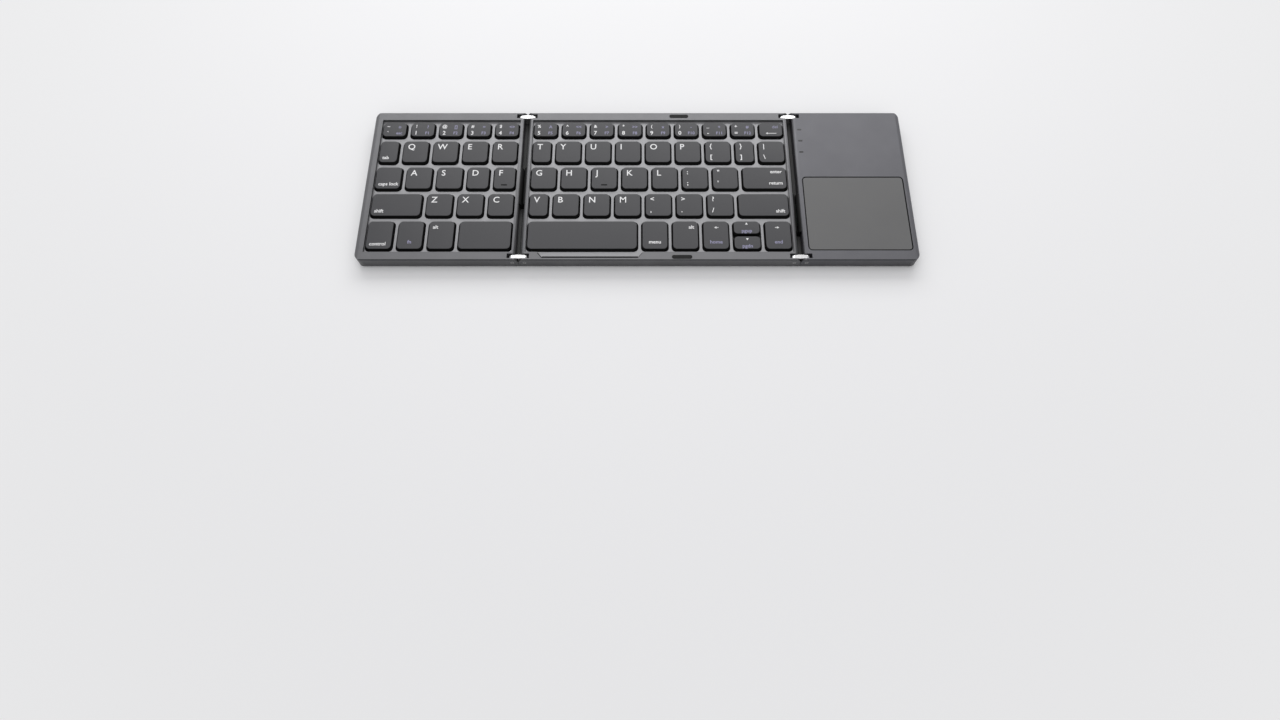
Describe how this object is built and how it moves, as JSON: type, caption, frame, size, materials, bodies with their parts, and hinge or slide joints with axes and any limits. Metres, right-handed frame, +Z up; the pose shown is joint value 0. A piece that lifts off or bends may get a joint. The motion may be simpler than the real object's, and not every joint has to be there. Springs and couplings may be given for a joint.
{
  "type": "folding keyboard",
  "caption": "Folding wireless keyboard with a touchpad: keyed left and centre panels and a touchpad panel, joined by double hinges that fold both wings over the keys.",
  "frame": {"origin": "middle of the unfolded keyboard's footprint, on the plane of the feet", "axes": "+X towards the touchpad wing, +Y towards the rear edge with the number row, +Z up out of the keys"},
  "size_m": [0.3046, 0.098, 0.0079],
  "materials": {
    "case_paint": "fine metallic grey paint on plastic, satin",
    "panel_paint": "fine metallic grey paint on plastic, satin",
    "cover_plastic": "fine spark-eroded dark grey",
    "key_plastic": "satin dark grey tops over black skirts",
    "rubber": "matt black",
    "dome_rubber": "translucent white silicone",
    "steel": "bare pressed steel",
    "chrome": "polished",
    "touchpad": "smooth matt sheet",
    "board": "green solder mask",
    "film": "printed polyester film",
    "cell": "silver laminate pouch",
    "lens": "smoked clear plastic"
  },
  "bodies": {
    "centre": {"centre_frame": "case_paint", "centre_bottom_cover": "cover_plastic", "centre_key_plate": "steel", "centre_membrane": "film", "centre_domes": "dome_rubber", "centre_feet": "rubber", "centre_screws": "steel", "centre_bumpers": "rubber", "centre_grommets": "rubber", "centre_hinge_pins": "steel"},
    "left_link": {"left_hinge_links": "chrome"},
    "left_wing": {"left_frame": "case_paint", "left_bottom_cover": "cover_plastic", "left_key_plate": "steel", "left_membrane": "film", "left_domes": "dome_rubber", "left_feet": "rubber", "left_screws": "steel", "left_grommet": "rubber", "left_hinge_pins": "steel"},
    "right_link": {"right_hinge_links": "chrome"},
    "right_wing": {"right_top_cover": "panel_paint", "right_bottom_cover": "cover_plastic", "touchpad_surface": "touchpad", "touchpad_board": "board", "main_board": "board", "battery": "cell", "charging_socket": "steel", "indicator_lenses": "lens", "right_ribbon_cable": "film", "right_feet": "rubber", "right_screws": "steel", "right_grommet": "rubber", "right_hinge_pins": "steel"},
    "left_number_keys": {"left_number_keys": "key_plastic"},
    "tab_key": {"tab_key": "key_plastic"},
    "qwer_keys": {"qwer_keys": "key_plastic"},
    "caps_lock_key": {"caps_lock_key": "key_plastic"},
    "asdf_keys": {"asdf_keys": "key_plastic"},
    "left_shift_key": {"left_shift_key": "key_plastic"},
    "zxc_keys": {"zxc_keys": "key_plastic"},
    "control_key": {"control_key": "key_plastic"},
    "fn_key": {"fn_key": "key_plastic"},
    "left_alt_key": {"left_alt_key": "key_plastic"},
    "left_space_key": {"left_space_key": "key_plastic"},
    "centre_number_keys": {"centre_number_keys": "key_plastic"},
    "backspace_key": {"backspace_key": "key_plastic"},
    "top_letter_keys": {"top_letter_keys": "key_plastic"},
    "home_letter_keys": {"home_letter_keys": "key_plastic"},
    "enter_key": {"enter_key": "key_plastic"},
    "low_letter_keys": {"low_letter_keys": "key_plastic"},
    "right_shift_key": {"right_shift_key": "key_plastic"},
    "space_bar": {"space_bar": "key_plastic"},
    "command_key": {"command_key": "key_plastic"},
    "right_alt_key": {"right_alt_key": "key_plastic"},
    "left_arrow_key": {"left_arrow_key": "key_plastic"},
    "up_arrow_key": {"up_arrow_key": "key_plastic"},
    "down_arrow_key": {"down_arrow_key": "key_plastic"},
    "right_arrow_key": {"right_arrow_key": "key_plastic"}
  },
  "joints": [
    {"name": "left_link_fold", "type": "hinge", "parent": "centre", "child": "left_link", "pos_m": [-0.06085, 0, 0.0046], "axis": [0, 1, 0], "range_deg": [0, 90]},
    {"name": "left_wing_fold", "type": "hinge", "parent": "left_link", "child": "left_wing", "pos_m": [-0.06745, 0, 0.0046], "axis": [0, 1, 0], "range_deg": [0, 90]},
    {"name": "right_link_fold", "type": "hinge", "parent": "centre", "child": "right_link", "pos_m": [0.0851, 0, 0.0046], "axis": [0, -1, 0], "range_deg": [0, 90]},
    {"name": "right_wing_fold", "type": "hinge", "parent": "right_link", "child": "right_wing", "pos_m": [0.0917, 0, 0.0046], "axis": [0, -1, 0], "range_deg": [0, 90]},
    {"name": "left_number_keys_press", "type": "slide", "parent": "left_wing", "child": "left_number_keys", "axis": [0, 0, 1], "range_m": [-0.0012, 0], "stiffness_N_per_m": 2250, "deforming": ["left_domes"]},
    {"name": "tab_key_press", "type": "slide", "parent": "left_wing", "child": "tab_key", "axis": [0, 0, 1], "range_m": [-0.0012, 0], "stiffness_N_per_m": 450, "deforming": ["left_domes"]},
    {"name": "qwer_keys_press", "type": "slide", "parent": "left_wing", "child": "qwer_keys", "axis": [0, 0, 1], "range_m": [-0.0012, 0], "stiffness_N_per_m": 1800, "deforming": ["left_domes"]},
    {"name": "caps_lock_key_press", "type": "slide", "parent": "left_wing", "child": "caps_lock_key", "axis": [0, 0, 1], "range_m": [-0.0012, 0], "stiffness_N_per_m": 450, "deforming": ["left_domes"]},
    {"name": "asdf_keys_press", "type": "slide", "parent": "left_wing", "child": "asdf_keys", "axis": [0, 0, 1], "range_m": [-0.0012, 0], "stiffness_N_per_m": 1800, "deforming": ["left_domes"]},
    {"name": "left_shift_key_press", "type": "slide", "parent": "left_wing", "child": "left_shift_key", "axis": [0, 0, 1], "range_m": [-0.0012, 0], "stiffness_N_per_m": 450, "deforming": ["left_domes"]},
    {"name": "zxc_keys_press", "type": "slide", "parent": "left_wing", "child": "zxc_keys", "axis": [0, 0, 1], "range_m": [-0.0012, 0], "stiffness_N_per_m": 1350, "deforming": ["left_domes"]},
    {"name": "control_key_press", "type": "slide", "parent": "left_wing", "child": "control_key", "axis": [0, 0, 1], "range_m": [-0.0012, 0], "stiffness_N_per_m": 450, "deforming": ["left_domes"]},
    {"name": "fn_key_press", "type": "slide", "parent": "left_wing", "child": "fn_key", "axis": [0, 0, 1], "range_m": [-0.0012, 0], "stiffness_N_per_m": 450, "deforming": ["left_domes"]},
    {"name": "left_alt_key_press", "type": "slide", "parent": "left_wing", "child": "left_alt_key", "axis": [0, 0, 1], "range_m": [-0.0012, 0], "stiffness_N_per_m": 450, "deforming": ["left_domes"]},
    {"name": "left_space_key_press", "type": "slide", "parent": "left_wing", "child": "left_space_key", "axis": [0, 0, 1], "range_m": [-0.0012, 0], "stiffness_N_per_m": 450, "deforming": ["left_domes"]},
    {"name": "centre_number_keys_press", "type": "slide", "parent": "centre", "child": "centre_number_keys", "axis": [0, 0, 1], "range_m": [-0.0012, 0], "stiffness_N_per_m": 3600, "deforming": ["centre_domes"]},
    {"name": "backspace_key_press", "type": "slide", "parent": "centre", "child": "backspace_key", "axis": [0, 0, 1], "range_m": [-0.0012, 0], "stiffness_N_per_m": 450, "deforming": ["centre_domes"]},
    {"name": "top_letter_keys_press", "type": "slide", "parent": "centre", "child": "top_letter_keys", "axis": [0, 0, 1], "range_m": [-0.0012, 0], "stiffness_N_per_m": 4050, "deforming": ["centre_domes"]},
    {"name": "home_letter_keys_press", "type": "slide", "parent": "centre", "child": "home_letter_keys", "axis": [0, 0, 1], "range_m": [-0.0012, 0], "stiffness_N_per_m": 3150, "deforming": ["centre_domes"]},
    {"name": "enter_key_press", "type": "slide", "parent": "centre", "child": "enter_key", "axis": [0, 0, 1], "range_m": [-0.0012, 0], "stiffness_N_per_m": 450, "deforming": ["centre_domes"]},
    {"name": "low_letter_keys_press", "type": "slide", "parent": "centre", "child": "low_letter_keys", "axis": [0, 0, 1], "range_m": [-0.0012, 0], "stiffness_N_per_m": 3150, "deforming": ["centre_domes"]},
    {"name": "right_shift_key_press", "type": "slide", "parent": "centre", "child": "right_shift_key", "axis": [0, 0, 1], "range_m": [-0.0012, 0], "stiffness_N_per_m": 450, "deforming": ["centre_domes"]},
    {"name": "space_bar_press", "type": "slide", "parent": "centre", "child": "space_bar", "axis": [0, 0, 1], "range_m": [-0.0012, 0], "stiffness_N_per_m": 450, "deforming": ["centre_domes"]},
    {"name": "command_key_press", "type": "slide", "parent": "centre", "child": "command_key", "axis": [0, 0, 1], "range_m": [-0.0012, 0], "stiffness_N_per_m": 450, "deforming": ["centre_domes"]},
    {"name": "right_alt_key_press", "type": "slide", "parent": "centre", "child": "right_alt_key", "axis": [0, 0, 1], "range_m": [-0.0012, 0], "stiffness_N_per_m": 450, "deforming": ["centre_domes"]},
    {"name": "left_arrow_key_press", "type": "slide", "parent": "centre", "child": "left_arrow_key", "axis": [0, 0, 1], "range_m": [-0.0012, 0], "stiffness_N_per_m": 450, "deforming": ["centre_domes"]},
    {"name": "up_arrow_key_press", "type": "slide", "parent": "centre", "child": "up_arrow_key", "axis": [0, 0, 1], "range_m": [-0.0012, 0], "stiffness_N_per_m": 450, "deforming": ["centre_domes"]},
    {"name": "down_arrow_key_press", "type": "slide", "parent": "centre", "child": "down_arrow_key", "axis": [0, 0, 1], "range_m": [-0.0012, 0], "stiffness_N_per_m": 450, "deforming": ["centre_domes"]},
    {"name": "right_arrow_key_press", "type": "slide", "parent": "centre", "child": "right_arrow_key", "axis": [0, 0, 1], "range_m": [-0.0012, 0], "stiffness_N_per_m": 450, "deforming": ["centre_domes"]}
  ]
}
